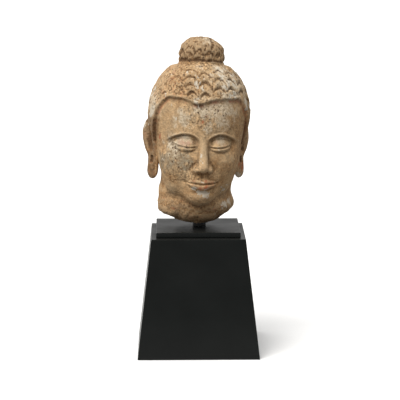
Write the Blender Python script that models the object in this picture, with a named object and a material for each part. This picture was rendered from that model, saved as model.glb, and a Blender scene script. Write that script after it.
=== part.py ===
"""A painted stucco head with a topknot, held up by a steel rod over a stepped, tapered plinth.

The origin is on the table, under the middle of the plinth. +X is the right of someone who looks at
the face, +Y runs from the face to the back of the head, and +Z is up.
"""

import math

import bmesh
import bpy
import numpy as np
from mathutils import Matrix

# Plinth, in metres: a tapered block with a flat board on top of it.
PLINTH_FOOT = 0.136
PLINTH_TOP = 0.105
PLINTH_HEIGHT = 0.133
BOARD_SIDE = 0.094
BOARD_THICKNESS = 0.006
BOARD_SETBACK = 0.003
EDGE_ROUNDING = 0.0006

BOARD_TOP = PLINTH_HEIGHT + BOARD_THICKNESS

# Rod, in metres: round steel that stands on the board and reaches up into the neck.
ROD_DIAMETER = 0.015
ROD_SIDE_STEP = 0.0018
ROD_SHOWN = 0.006
SOCKET_DEPTH = 0.045
SOCKET_CLEARANCE = 0.0005
# What touches on the real object is parted by this much.
GAP = 0.0003
ROD_END = BOARD_TOP + ROD_SHOWN + SOCKET_DEPTH

# Head: its height in metres from the broken neck to the top of the knot, and how it sits.
HEAD_HEIGHT = 0.208
HEAD_TURN = math.radians(6.0)
HEAD_LEAN = math.radians(2.6)
NECK_SIDE_STEP = -0.0040

# Every length below this line and before the pieces is a share of HEAD_HEIGHT.
# In the head's own frame, x is across the face, y is backwards and z is up from the broken neck.
DOME_CENTRE = (0.0, 0.012, 0.592)
DOME_RADII = (0.258, 0.262, 0.278)
FACE_CENTRE = (0.0, -0.052, 0.405)
FACE_RADII = (0.222, 0.196, 0.288)
BROW_HEIGHT = 0.490
EYE_HEIGHT = 0.448
NOSE_BASE = 0.303
MOUTH_HEIGHT = 0.242
EYE_WIDTH = 0.094
MOUTH_WIDTH = 0.170
NECK_CENTRE = (0.004, 0.018)
NECK_RADII = (0.193, 0.180)
KNOT_CENTRE = (0.002, 0.012, 0.8855)
KNOT_RADII = (0.125, 0.123, 0.118)
KNOT_SQUARENESS = 2.45
SHOULDER_CENTRE = (0.0, 0.012, 0.681)
SHOULDER_RADII = (0.217, 0.222, 0.190)
CROWN_HEIGHT = 0.858
CROWN_SLOPE = 0.12
HAIR_THICKNESS = 0.013
LOCK_COLUMNS = 22
LOCK_POLE = math.radians(30)
LOCK_PITCH = math.radians(10.9)
LOCK_DEPTH = 0.0130
HAIR_BAND = 0.024
ARCH_HEIGHT = 0.683
DIP_DEPTH = 0.024
DIP_SIDE = -8.0
NAPE_HEIGHT = 0.285
KNOT_COLUMNS = 13
KNOT_PITCH = 0.044
EAR_TOP = 0.562
EAR_BOTTOM = 0.243
LEFT_LOBE_DROP = 0.016
RIGHT_LOBE_STEP = 0.008

# The grids that carry these forms, and how far the head's own is thinned out afterwards. The knot
# takes the first part of the rows, and the hair's edge lies on one of them all the way round.
HEAD_COLUMNS = 230
HEAD_ROWS = 210
KNOT_SHARE = 0.12
HAIR_SHARE = 0.17
HAIRLINE_ROW = 0.38
ROWS_SKIPPED = 4
HEAD_FACES_KEPT = 0.078
EAR_AROUND = 20
EAR_ALONG = 24
ROD_SIDES = 48


def soft_join(a, b, reach):
    """The union of two distance fields, with a fillet whose size goes with reach."""
    share = np.clip(0.5 + 0.5 * (b - a) / reach, 0.0, 1.0)
    return b * (1 - share) + a * share - reach * share * (1 - share)


def soft_keep(a, b, reach):
    """The common part of two distance fields, with a rounded edge."""
    return -soft_join(-a, -b, reach)


def egg(p, centre, radii):
    """Distance from an ellipsoid, nearly true close to its surface."""
    q = (p - np.array(centre)) / np.array(radii)
    near = np.sqrt((q * q).sum(-1)) + 1e-9
    steep = np.sqrt(((q / np.array(radii)) ** 2).sum(-1)) + 1e-9
    return near * (near - 1) / steep


def dome(p, centre, radii, squareness):
    """Distance, along the line from its centre, from an egg whose top is flatter than a true one's."""
    q = (p - np.array(centre)) / np.array(radii)
    around = np.hypot(q[..., 0], q[..., 1])
    near = (around**squareness + np.abs(q[..., 2]) ** squareness) ** (1 / squareness) + 1e-9
    away = np.sqrt(((p - np.array(centre)) ** 2).sum(-1))
    return away * (1 - 1 / near)


def finger(p, start, end, start_radius, end_radius):
    """Distance from a tapered rod with round ends."""
    a, b = np.array(start), np.array(end)
    along = np.clip(((p - a) @ (b - a)) / ((b - a) @ (b - a)), 0, 1)
    nearest = a + along[..., None] * (b - a)
    radius = start_radius + (end_radius - start_radius) * along
    return np.sqrt(((p - nearest) ** 2).sum(-1)) - radius


def both_sides(p):
    """Points folded onto the half x > 0, for what the head has on its left and on its right."""
    return np.concatenate([np.abs(p[..., :1]), p[..., 1:]], axis=-1)


def step_up(x, low, high):
    """0 below low, 1 above high and a smooth rise between."""
    t = np.clip((x - low) / (high - low), 0, 1)
    return t * t * (3 - 2 * t)


def bell(x, width):
    """A bump of height 1 at 0 that has faded to a third at width."""
    return np.exp(-((x / width) ** 2))


def through(x, places, values):
    """A smooth curve through the given points, where each point's slope comes from its neighbours."""
    places, values = np.array(places, float), np.array(values, float)
    slopes = np.gradient(values, places)
    i = np.clip(np.searchsorted(places, x, side="right") - 1, 0, len(places) - 2)
    width = places[i + 1] - places[i]
    t = np.clip((x - places[i]) / width, 0, 1)
    levels = values[i] * (1 + 2 * t) * (1 - t) ** 2 + values[i + 1] * t**2 * (3 - 2 * t)
    return levels + width * (slopes[i] * t * (1 - t) ** 2 - slopes[i + 1] * t**2 * (1 - t))


def neck_field(p):
    """Distance from the neck: an oval column, flared low down, with a rounded broken underside."""
    x = (p[..., 0] - NECK_CENTRE[0]) / NECK_RADII[0]
    y = (p[..., 1] - NECK_CENTRE[1]) / NECK_RADII[1]
    z = p[..., 2]
    around = np.hypot(x, y)
    flare = 1 + (0.060 + 0.035 * step_up(x, 0.0, 1.0)) * bell(z - 0.100, 0.05)
    column = (around - flare) * NECK_RADII[1]
    corner = 4.2 - 1.4 * step_up(x, 0.2, 0.8)
    broken_edge = 0.085 * (around / 1.08) ** corner
    column = soft_keep(column, (broken_edge - z) * 0.75, 0.022)
    return soft_keep(column, z - 0.5, 0.02)


def under_knot(p):
    """Depth of each point under the plane where the hair meets the knot, which rises to the front."""
    return CROWN_HEIGHT - CROWN_SLOPE * (p[..., 1] - KNOT_CENTRE[1]) - p[..., 2]


def head_field(p):
    """Distance from the plain masses of the head, without locks, lids and lips."""
    q = both_sides(p)
    field = soft_join(egg(p, DOME_CENTRE, DOME_RADII), egg(p, FACE_CENTRE, FACE_RADII), 0.045)
    cheek = egg(q, (0.098, -0.125, 0.345), (0.088, 0.096, 0.092))
    jaw = egg(q, (0.082, -0.085, 0.240), (0.088, 0.100, 0.085))
    chin = egg(p, (0.0, -0.180, 0.178), (0.075, 0.068, 0.062))
    muzzle = egg(p, (0.0, -0.195, 0.255), (0.082, 0.066, 0.070))
    for mass, reach in ((cheek, 0.05), (jaw, 0.05), (muzzle, 0.05), (chin, 0.05)):
        field = soft_join(field, mass, reach)
    field = soft_join(field, neck_field(p), 0.018)
    bridge = finger(p, (0.0, -0.231, 0.487), (0.0, -0.284, 0.332), 0.0165, 0.0265)
    wing = egg(q, (0.033, -0.263, 0.319), (0.0205, 0.027, 0.0180))
    nose = soft_join(bridge, wing, 0.012)
    field = soft_join(field, nose, 0.018)
    shoulder = soft_keep(egg(p, SHOULDER_CENTRE, SHOULDER_RADII), -under_knot(p), 0.008)
    field = soft_join(field, shoulder, 0.03)
    return soft_join(field, dome(p, KNOT_CENTRE, KNOT_RADII, KNOT_SQUARENESS), 0.014)


def ray_fan(columns, along):
    """Start points on the head's axis and directions: one fan that sweeps from the knot to the neck.

    along holds each row's share of the sweep, for every column. Rays tilt down over the face, so
    that they meet the undersides of nose and chin squarely, and round the knot's foot they follow
    the slope of the crown.
    """
    turn = np.linspace(-1, 1, columns, endpoint=False)
    angle = math.pi * (turn - 0.45 * np.sin(math.pi * turn) / math.pi)
    share = (0.0, 0.07, 0.095, 0.11, 0.17, 0.25, 0.34, 0.44, 0.62, 0.75, 0.83, 0.90, 1.0)
    start = (0.91, 0.91, 0.885, 0.800, 0.72, 0.62, 0.57, 0.535, 0.475, 0.40, 0.32, 0.21, 0.14)
    tilt = (90, 0, -8, 25, 44, 24, 8, -6, -27, -35, -38, -42, -90)
    height = np.interp(along, share, start)
    lift = np.radians(np.interp(along, share, tilt))
    origin = np.zeros((*along.shape, 3))
    origin[..., 1] = DOME_CENTRE[1]
    origin[..., 2] = height
    toward = np.empty_like(origin)
    toward[..., 0] = np.cos(lift) * np.sin(angle)
    toward[..., 1] = -np.cos(lift) * np.cos(angle)
    crown = np.interp(along, (0.0, 0.07, 0.17, 0.30), (0.0, 1.0, 1.0, 0.0)) * CROWN_SLOPE
    toward[..., 2] = np.sin(lift) - crown * toward[..., 1]
    return origin, toward


def first_hit(field, origin, toward):
    """Where each ray, followed inwards from outside, first meets the surface."""
    far, step = 0.50, 0.018
    reach = np.full(origin.shape[:2], far)
    open_rays = np.ones(reach.shape, bool)
    while open_rays.any() and reach[open_rays].min() > step:
        trial = reach - step
        inside = field(origin + toward * trial[..., None]) < 0
        reach = np.where(open_rays & ~inside, trial, reach)
        open_rays &= ~inside
    low, high = reach - step, reach
    for _ in range(12):
        middle = (low + high) / 2
        inside = field(origin + toward * middle[..., None]) < 0
        low, high = np.where(inside, middle, low), np.where(inside, high, middle)
    return origin + toward * ((low + high) / 2)[..., None]


def hairline(angle):
    """Height of the hair's edge at an angle in degrees from the face: two arches that meet in a dip,
    run down before the ears and end in a line on the nape. Angles grow towards +X."""
    dip = DIP_DEPTH * bell(angle - DIP_SIDE, 14)
    return ARCH_HEIGHT - dip - (ARCH_HEIGHT - NAPE_HEIGHT) * step_up(np.abs(angle), 44, 110)


def hair_edge(p):
    """Distance of each point from the hair's edge, measured over the skin: above 0 in the hair."""
    angle = np.degrees(np.arctan2(p[..., 0], -(p[..., 1] - DOME_CENTRE[1])))
    slope = (hairline(angle + 3) - hairline(angle - 3)) / (math.radians(6) * DOME_RADII[0])
    return (p[..., 2] - hairline(angle)) / np.sqrt(1 + slope**2)


def lock_relief(p):
    """Height of the carved locks: columns of scales, each cut off below by an arched gouge.

    The columns run together behind the knot, so that they stand nearly upright over the brow. A
    gouge is deepest right under the arch, in the middle of its column, and runs out downwards.
    """
    x, y = p[..., 0] - DOME_CENTRE[0], p[..., 1] - DOME_CENTRE[1]
    z = p[..., 2] - DOME_CENTRE[2]
    back, up = math.sin(LOCK_POLE), math.cos(LOCK_POLE)
    pole = y * back + z * up
    ahead = -y * up + z * back
    around = np.arctan2(x, ahead) / (2 * math.pi) * LOCK_COLUMNS + 0.5
    column = np.floor(around)
    across = (around - column) * 2 - 1
    stretch = 1 + 0.10 * np.sin(column * 2.3 + 1.0)
    climb = np.arctan2(pole, np.hypot(x, ahead)) / (LOCK_PITCH * stretch)
    phase = climb + 0.12 * (column % 2) + 0.14 * np.sin(column * 1.7) + 0.55 * across**2
    rise = phase - np.floor(phase)
    gouge = step_up(rise, 0.46, 0.86) * (1 - step_up(rise, 0.84, 1.0))
    gouge = gouge * (1 - np.abs(across) ** 3)
    seam = bell(1 - np.abs(across), 0.10)
    worn = 1 - 0.62 * step_up(climb * stretch, 1.3, 3.0) - 0.25 * step_up(climb * stretch, 4.5, 6.5)
    rubbed = 1 - 0.70 * step_up(-x, 0.06, 0.13) * step_up(-y, -0.1, 0.05)
    return (0.15 - gouge - 0.16 * seam) * worn * rubbed * LOCK_DEPTH


def knot_relief(p):
    """Height of the worn curls on the knot, and the crack that runs down its front."""
    x, y, z = (p[..., i] - KNOT_CENTRE[i] for i in range(3))
    around = np.arctan2(x, -y) / (2 * math.pi) * KNOT_COLUMNS
    across = (around - np.floor(around)) * 2 - 1
    climb = z / KNOT_PITCH + 0.45 * across**2 + 0.3 * np.sin(np.floor(around) * 2.1)
    rise = climb - np.floor(climb)
    curls = (1 - rise) * step_up(rise, 0.0, 0.22) * (1 - 0.6 * across**2)
    lumps = np.sin(x * 55 + 1.0 + 40 * z) * np.sin(y * 47) + np.sin(z * 75 + x * 22 - y * 15)
    fade = 1 - step_up(z, 0.058, 0.103)
    crack = bell(x - 0.046 - 0.005 * np.sin(z * 90), 0.0045) * (y < 0) * step_up(z, 0.01, 0.04)
    groove = bell(under_knot(p) + 0.004, 0.012)
    return 0.0075 * curls * fade + 0.0016 * lumps - 0.0025 - 0.009 * crack - 0.006 * groove


def break_relief(p):
    """Height of the lumps and hollows where the neck is broken off."""
    x, y, z = p[..., 0], p[..., 1], p[..., 2]
    lumps = np.sin(38 * x + 2 * np.sin(25 * y)) * np.sin(33 * y + 1.3)
    small = np.sin(71 * x + 1.0) * np.sin(64 * y + 80 * z)
    return (0.0035 * lumps + 0.0020 * small) * (1 - step_up(z, 0.06, 0.13))


def brow_line(x):
    """Height of the brow's crest: a long arch on each side, from the root of the nose outwards."""
    t = np.abs(x)
    inner_fall = 0.040 * np.clip((0.085 - t) / 0.075, 0, 1) ** 1.8
    outer_fall = 1.9 * np.clip(t - 0.10, 0, 1) ** 1.6
    return BROW_HEIGHT + 0.016 - inner_fall - outer_fall


def eye_relief(x, z):
    """How far the surface stands out at an eye: a lowered lid, its slit and the rim below it."""
    along = (np.abs(x) - EYE_WIDTH) / (EYE_WIDTH * 0.61)
    up = z - EYE_HEIGHT
    inside = np.clip(1 - along**2, 0, 1)
    bulge = np.sqrt(np.clip(1 - (along / 1.12) ** 2 - ((up - 0.004) / 0.043) ** 2, 0, 1))
    slit_height = -0.009 - 0.007 * inside + 0.004 * along
    ends = step_up(inside, 0.0, 0.25)
    slit = bell(up - slit_height, 0.0038) * ends
    lid_edge = bell(up - slit_height - 0.0065, 0.0045) * ends
    crease = bell(up - 0.007 - 0.024 * np.sqrt(inside), 0.0045) * step_up(inside, -0.05, 0.2)
    rim = bell(up - slit_height + 0.0085, 0.0045) * ends
    return 0.022 * bulge - 0.0100 * slit + 0.0038 * lid_edge - 0.0052 * crease + 0.0034 * rim


def socket_relief(x, z):
    """How far the surface falls back under the brow, and the soft crest of the brow itself."""
    t = np.abs(x)
    below = brow_line(x) - z
    window = step_up(t, 0.018, 0.050) * (1 - step_up(t, 0.15, 0.20))
    hollow = step_up(below, -0.002, 0.016) * bell(np.clip(below - 0.02, 0, 1), 0.060) * window
    crest = bell(below, 0.008) * step_up(t, 0.012, 0.035) * (1 - step_up(t, 0.14, 0.19))
    corner = bell(t - 0.040, 0.016) * bell(z - EYE_HEIGHT - 0.008, 0.030)
    return -0.027 * hollow + 0.0060 * crest - 0.011 * corner


def mouth_relief(x, z):
    """How far the surface stands out at the mouth: two closed lips with a bow, and their corners."""
    half = MOUTH_WIDTH / 2
    t = np.clip(np.abs(x) / half, 0, 1.4)
    inside = np.clip(1 - t**2, 0, 1)
    line = MOUTH_HEIGHT + 0.005 * t**2 - 0.003 * bell(x, 0.012)
    upper_rim = line + 0.026 * inside**0.75 - 0.006 * bell(x, 0.009)
    lower_rim = line - 0.034 * inside**0.62 * (0.8 + 0.2 * bell(x, 0.035))
    upper = np.clip((z - line) / (upper_rim - line + 1e-4), 0, 1.6)
    lower = np.clip((line - z) / (line - lower_rim + 1e-4), 0, 1.6)
    full = step_up(inside, 0.0, 0.5)
    upper_lip = np.where(z >= line, np.sqrt(np.clip(1 - (upper * 1.25 - 0.40) ** 2, 0, 1)), 0)
    lower_lip = np.where(z < line, np.sqrt(np.clip(1 - (lower * 1.45 - 0.50) ** 2, 0, 1)), 0)
    upper_lip = upper_lip * (1 - step_up(upper, 0.92, 1.12))
    lower_lip = lower_lip * (1 - step_up(lower, 0.95, 1.20))
    part = bell(z - line, 0.0040) * step_up(1.10 - t, 0.0, 0.12)
    corner = bell(np.abs(x) - half * 1.04, 0.016) * bell(z - line - 0.001, 0.015)
    over_lip = step_up(z, MOUTH_HEIGHT + 0.020, MOUTH_HEIGHT + 0.030)
    philtrum = bell(x, 0.007) * over_lip * (1 - step_up(z, NOSE_BASE - 0.010, NOSE_BASE + 0.004))
    dent = bell(z - MOUTH_HEIGHT + 0.050, 0.014) * bell(x, 0.055)
    return (
        0.0130 * upper_lip * full
        + 0.0165 * lower_lip * full
        - 0.0120 * part
        - 0.0090 * corner
        - 0.0035 * philtrum
        - 0.0080 * dent
    )


def nose_relief(x, z, y):
    """The crease round each wing of the nose, and the nostrils under it."""
    t = np.abs(x)
    ring = np.hypot((t - 0.034) / 0.026, (z - 0.316) / 0.023)
    crease = bell(ring - 1.10, 0.20) * step_up(t, 0.028, 0.050) * step_up(z, 0.290, 0.312)
    nostril = np.hypot((t - 0.020) / 0.012, (y + 0.272) / 0.014)
    opening = bell(nostril, 0.75) * bell(z - NOSE_BASE, 0.012)
    return crease, opening


def face_relief(p):
    """Shift of each point for the carving of the face, as an array of x, y, z."""
    x, y, z = p[..., 0], p[..., 1], p[..., 2]
    front = step_up(-y, 0.05, 0.15)
    forward = (eye_relief(x, z) + socket_relief(x, z) + mouth_relief(x, z)) * front
    crease, opening = nose_relief(x, z, y)
    forward = forward - 0.0045 * crease * front
    shift = np.zeros_like(p)
    shift[..., 1] = -forward
    shift[..., 2] = 0.012 * opening * front
    return shift


def carved(p):
    """The plain surface with its hair, knot and face carved."""
    outward = p - np.array(DOME_CENTRE)
    outward /= np.sqrt((outward**2).sum(-1))[..., None]
    edge = hair_edge(p)
    hair = step_up(edge, -0.001, 0.006)
    depth = under_knot(p)
    below_knot = step_up(depth, 0.0, 0.032)
    on_knot = step_up(-depth, 0.0, 0.012)
    over_band = edge / HAIR_BAND
    rim = np.sqrt(np.clip(1 - (np.minimum(over_band, 0.4) * 2.5 - 1) ** 2, 0, 1))
    rim = rim * (1 - 0.3 * step_up(over_band, 0.5, 1.1)) * 0.0065
    locks = lock_relief(p) * step_up(over_band, 0.7, 1.3)
    thickness = (HAIR_THICKNESS + locks + rim) * below_knot
    from_knot = p - np.array(KNOT_CENTRE)
    from_knot /= np.sqrt((from_knot**2).sum(-1))[..., None] + 1e-9
    moved = p + outward * (thickness * hair + break_relief(p))[..., None]
    moved = moved + from_knot * (knot_relief(p) * on_knot)[..., None]
    return moved + face_relief(p) * (1 - hair)[..., None]


def grid_shell(points):
    """Corners and faces of a closed shell from rows of points; the first and last row shrink to one."""
    rows, columns = points.shape[:2]
    first, last = points[0].mean(0), points[-1].mean(0)
    corners = np.concatenate([points[1:-1].reshape(-1, 3), [first, last]])
    inner = rows - 2
    index = np.arange(inner * columns).reshape(inner, columns)
    right = np.roll(index, -1, axis=1)
    quads = np.stack([index[:-1], index[1:], right[1:], right[:-1]], axis=-1).reshape(-1, 4)
    top = np.stack([index[0], right[0], np.full(columns, len(corners) - 2)], axis=-1)
    foot = np.stack([right[-1], index[-1], np.full(columns, len(corners) - 1)], axis=-1)
    return corners, quads.tolist() + top.tolist() + foot.tolist()


def head_shell(columns, rows):
    """The head without its ears, in shares of its height, with one row of the grid on the hair's edge."""
    even = np.linspace(0, 1, rows)[:, None] * np.ones(columns)
    edge = hair_edge(first_hit(head_field, *ray_fan(columns, even[::ROWS_SKIPPED])))
    on_skin = edge < 0
    on_skin[: int(len(edge) * HAIR_SHARE)] = False
    below = on_skin.argmax(axis=0)
    low, high = edge[below, np.arange(columns)], edge[below - 1, np.arange(columns)]
    share = (below - 1 + high / (high - low)) * ROWS_SKIPPED / (rows - 1)
    row = np.arange(rows)[:, None]
    knot_row, edge_row = rows * KNOT_SHARE, int(rows * HAIRLINE_ROW)
    along = KNOT_SHARE * np.clip(row / knot_row, 0, 1)
    along = along + (share - KNOT_SHARE) * np.clip((row - knot_row) / (edge_row - knot_row), 0, 1)
    along = along + (1 - share) * np.clip((row - edge_row) / (rows - 1 - edge_row), 0, 1)
    return grid_shell(carved(first_hit(head_field, *ray_fan(columns, along))))


def ear_shell(side, around, along):
    """One ear: a leaf with a rolled rim above and a long slotted lobe that hangs free below.

    The leaf is an oval section carried down the ear. Its front edge is sunk in the head, and its
    back edge stands away from it. side is -1 or 1.
    """
    s = np.linspace(0, 1, along)[:, None]
    t = np.linspace(0, 2 * math.pi, around, endpoint=False)[None, :]
    ends = np.sqrt(np.clip(1 - np.abs(2 * s - 1) ** 7, 0, 1))
    places = (0.0, 0.12, 0.32, 0.50, 0.62, 0.78, 0.92, 1.0)
    half = through(s, places, (0.048, 0.065, 0.070, 0.054, 0.038, 0.032, 0.033, 0.030)) * ends
    thick = through(s, places, (0.022, 0.025, 0.027, 0.025, 0.021, 0.019, 0.019, 0.016)) * ends
    middle_x = through(s, places, (0.236, 0.242, 0.244, 0.238, 0.234, 0.237, 0.240, 0.240))
    middle_y = through(s, places, (0.052, 0.056, 0.048, 0.028, 0.013, 0.002, -0.003, -0.004))
    fan = np.radians(through(s, places, (16, 19, 24, 33, 43, 50, 52, 52)))
    a = np.sign(np.cos(t)) * np.abs(np.cos(t)) ** 0.75
    b = np.sign(np.sin(t)) * np.abs(np.sin(t)) ** 0.75
    outer = step_up(b, 0.0, 0.4)
    upper = step_up(s, 0.05, 0.14) * (1 - step_up(s, 0.46, 0.58))
    bowl = bell(a + 0.02, 0.30) * upper
    fold = bell(a - 0.45, 0.20) * step_up(s, 0.10, 0.18) * (1 - step_up(s, 0.36, 0.48))
    roll = bell(a - 0.86, 0.22) * (1 - step_up(s, 0.52, 0.68))
    root = bell(a + 0.80, 0.20) * step_up(s, 0.22, 0.30) * (1 - step_up(s, 0.42, 0.5))
    slot = bell(a, 0.22) * step_up(s, 0.61, 0.65) * (1 - step_up(s, 0.70, 0.76))
    relief = outer * (-0.036 * bowl + 0.005 * fold + 0.007 * roll + 0.008 * root - 0.018 * slot)
    middle_x = middle_x - RIGHT_LOBE_STEP * (side > 0) * step_up(s, 0.35, 0.60)
    across = a * half
    out = b * thick + relief
    x = middle_x + across * np.sin(fan) + out * np.cos(fan)
    y = middle_y + across * np.cos(fan) - out * np.sin(fan)
    bottom = EAR_BOTTOM - LEFT_LOBE_DROP * (side < 0)
    z = EAR_TOP + (bottom - EAR_TOP) * s + 0 * t
    points = np.stack([side * x, y, z], axis=-1)
    if side > 0:
        points = points[:, ::-1]
    return grid_shell(points)


def head_placement():
    """Carries shares of the head's height to metres in the object's frame."""
    place = Matrix.Translation((NECK_SIDE_STEP, 0.0, BOARD_TOP + ROD_SHOWN))
    turn = Matrix.Rotation(HEAD_TURN, 4, "Z")
    lean = Matrix.Rotation(HEAD_LEAN, 4, "Y")
    return place @ lean @ turn @ Matrix.Scale(HEAD_HEIGHT, 4)


def new_object(name, corners, faces, material=None):
    """A mesh object with these corners and faces."""
    mesh = bpy.data.meshes.new(name)
    mesh.from_pydata([tuple(c) for c in corners], [], faces)
    mesh.validate()
    piece = bpy.data.objects.new(name, mesh)
    bpy.context.scene.collection.objects.link(piece)
    if material:
        mesh.materials.append(material)
    return piece


def finish(name, colour, roughness, metallic=0.0):
    """A plain material with one colour."""
    material = bpy.data.materials.new(name)
    material.use_nodes = True
    shader = material.node_tree.nodes["Principled BSDF"]
    shader.inputs["Base Color"].default_value = (*colour, 1.0)
    shader.inputs["Roughness"].default_value = roughness
    shader.inputs["Metallic"].default_value = metallic
    return material


def as_cutter(piece):
    """Leaves the piece out of the model: it only shapes another one."""
    piece.hide_render = True
    piece.display_type = "WIRE"


def new_cylinder(name, radius, foot, end, material=None):
    """An upright cylinder on the rod's axis, from one height to another."""
    mesh = bmesh.new()
    bmesh.ops.create_cone(
        mesh,
        cap_ends=True,
        segments=ROD_SIDES,
        radius1=radius,
        radius2=radius,
        depth=end - foot,
        matrix=Matrix.Translation((ROD_SIDE_STEP, BOARD_SETBACK, (foot + end) / 2)),
    )
    piece = new_object(name, [], [], material)
    mesh.to_mesh(piece.data)
    mesh.free()
    return piece


def build_head():
    """The stucco head: one solid with its hair, knot, ears and neck, and a socket for the rod."""
    corners, faces = head_shell(HEAD_COLUMNS, HEAD_ROWS)
    stucco = finish("stucco", (0.47, 0.33, 0.20), 0.85)
    head = new_object("head", corners, faces, stucco)
    head.data.transform(head_placement())
    thin = head.modifiers.new("fewer faces", "DECIMATE")
    thin.ratio = HEAD_FACES_KEPT
    for side, name in ((-1, "ear_left"), (1, "ear_right")):
        ear = new_object(name, *ear_shell(side, EAR_AROUND, EAR_ALONG))
        ear.data.transform(head_placement())
        as_cutter(ear)
        join = head.modifiers.new(name, "BOOLEAN")
        join.operation = "UNION"
        join.object = ear
    socket_foot = BOARD_TOP + GAP
    socket_end = ROD_END + GAP
    socket = new_cylinder("socket", ROD_DIAMETER / 2 + SOCKET_CLEARANCE, socket_foot, socket_end)
    as_cutter(socket)
    cut = head.modifiers.new("socket", "BOOLEAN")
    cut.operation = "DIFFERENCE"
    cut.object = socket
    head.data.shade_smooth()
    return head


def new_block(name, foot_side, top_side, foot, top, set_back, material):
    """A square block that may taper upwards, with its edges slightly rounded."""
    corners = []
    for side, level in ((foot_side, foot), (top_side, top)):
        half = side / 2
        for x, y in ((-half, -half), (half, -half), (half, half), (-half, half)):
            corners.append((x, y + set_back, level))
    faces = [(3, 2, 1, 0), (4, 5, 6, 7)]
    faces += [(i, (i + 1) % 4, (i + 1) % 4 + 4, i + 4) for i in range(4)]
    piece = new_object(name, corners, faces, material)
    bevel = piece.modifiers.new("rounded edges", "BEVEL")
    bevel.width = EDGE_ROUNDING
    bevel.segments = 2
    return piece


def build_mount():
    """The tapered block, the flat board on it and the steel rod that holds the head up."""
    paint = finish("black_paint", (0.018, 0.019, 0.019), 0.35)
    steel = finish("black_steel", (0.020, 0.020, 0.021), 0.40, 0.6)
    new_block("plinth_block", PLINTH_FOOT, PLINTH_TOP, 0.0, PLINTH_HEIGHT, 0.0, paint)
    board_foot = PLINTH_HEIGHT + GAP
    new_block("plinth_board", BOARD_SIDE, BOARD_SIDE, board_foot, BOARD_TOP, BOARD_SETBACK, paint)
    rod = new_cylinder("mount_rod", ROD_DIAMETER / 2, BOARD_TOP + GAP, ROD_END, steel)
    rod.data.shade_smooth()
    rod.data.set_sharp_from_angle(angle=math.radians(40))


for old in list(bpy.data.objects):
    bpy.data.objects.remove(old)

build_mount()
build_head()
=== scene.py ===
"""How the painted stucco head with its topknot looks, on its steel rod and black plinth.

Metres throughout. The origin is on the table under the middle of the plinth, +X is the right of
someone who looks at the face, +Y runs from the face to the back of the head, and +Z is up.
"""

import math

import bpy
import numpy as np
from mathutils import Matrix, Vector


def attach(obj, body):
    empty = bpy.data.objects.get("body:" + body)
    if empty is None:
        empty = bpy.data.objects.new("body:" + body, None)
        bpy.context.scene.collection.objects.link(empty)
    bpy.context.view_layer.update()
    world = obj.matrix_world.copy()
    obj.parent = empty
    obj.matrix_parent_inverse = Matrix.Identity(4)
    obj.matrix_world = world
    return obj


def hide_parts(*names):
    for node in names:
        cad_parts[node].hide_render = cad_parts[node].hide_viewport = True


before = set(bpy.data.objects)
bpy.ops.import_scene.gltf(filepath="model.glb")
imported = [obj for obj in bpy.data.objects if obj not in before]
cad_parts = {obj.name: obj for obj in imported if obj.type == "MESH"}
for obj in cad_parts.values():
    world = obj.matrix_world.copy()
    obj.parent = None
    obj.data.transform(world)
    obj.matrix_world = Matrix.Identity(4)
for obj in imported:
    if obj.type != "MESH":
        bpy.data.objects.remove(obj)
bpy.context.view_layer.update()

# Camera. It stands two metres in front of the plinth, a little to the left of its middle, and looks
# down on it through a long lens, so that the block's sides run together only by their own taper.
CAMERA_PLACE = (-0.0367, -2.0213, 0.5051)
CAMERA_YAW = math.radians(1.112)
CAMERA_PITCH = math.radians(9.449)
CAMERA_LENS = 163.2
CAMERA_SENSOR = 36.0

lens = bpy.data.cameras.new("camera")
lens.lens = CAMERA_LENS
lens.sensor_width = CAMERA_SENSOR
camera = bpy.data.objects.new("camera", lens)
camera.location = CAMERA_PLACE
camera.rotation_euler = (math.pi / 2 - CAMERA_PITCH, 0.0, -CAMERA_YAW)
bpy.context.scene.collection.objects.link(camera)
bpy.context.scene.camera = camera

# Light. One broad soft lamp high on the left and in front gives the shaded right side and the short
# shadow at the plinth's foot. The pale room round it fills the rest, and is dimmest before the face.
LAMP_AHEAD = (0.40, 0.53, -0.75)
LAMP_POWER = 2.85
LAMP_SPREAD = math.radians(42)
LAMP_COLOUR = (1.0, 0.985, 0.965)
ROOM_BEHIND = 0.80
ROOM_BEFORE = 0.60
ROOM_ABOVE = 1.25
ROOM_BELOW = 0.22
ROOM_LEFT = 1.20
ROOM_RIGHT = 0.78
ROOM_COLOUR = (1.0, 0.995, 0.985, 1.0)

scene = bpy.context.scene
scene.view_settings.view_transform = "Standard"
scene.view_settings.look = "None"

lamp = bpy.data.lights.new("soft lamp", "SUN")
lamp.energy = LAMP_POWER
lamp.angle = LAMP_SPREAD
lamp.color = LAMP_COLOUR
lamp_place = bpy.data.objects.new("soft lamp", lamp)
lamp_place.rotation_euler = Vector(LAMP_AHEAD).to_track_quat("-Z", "Y").to_euler()
scene.collection.objects.link(lamp_place)


def add_node(tree, kind, inputs=None, **settings):
    """A node of this kind. Each of its inputs is given a value, or another node's output."""
    node = tree.nodes.new(kind)
    for name, value in settings.items():
        setattr(node, name, value)
    for name, value in (inputs or {}).items():
        if isinstance(value, bpy.types.NodeSocket):
            tree.links.new(value, node.inputs[name])
        else:
            node.inputs[name].default_value = value
    return node


def colour_ramp(tree, value, stops):
    """A colour for each value between 0 and 1, through the given (value, colour) stops."""
    ramp = add_node(tree, "ShaderNodeValToRGB", {"Fac": value})
    marks = ramp.color_ramp.elements
    while len(marks) < len(stops):
        marks.new(1.0)
    for mark, (place, colour) in zip(marks, stops):
        mark.position = place
        mark.color = (*colour, 1.0)
    return ramp.outputs["Color"]


def between(tree, value, low, high, to_low=0.0, to_high=1.0):
    """Carries a value from the range low to high to the range to_low to to_high, and no further."""
    spots = {"Value": value, "From Min": low, "From Max": high, "To Min": to_low, "To Max": to_high}
    return add_node(tree, "ShaderNodeMapRange", spots).outputs["Result"]


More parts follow.
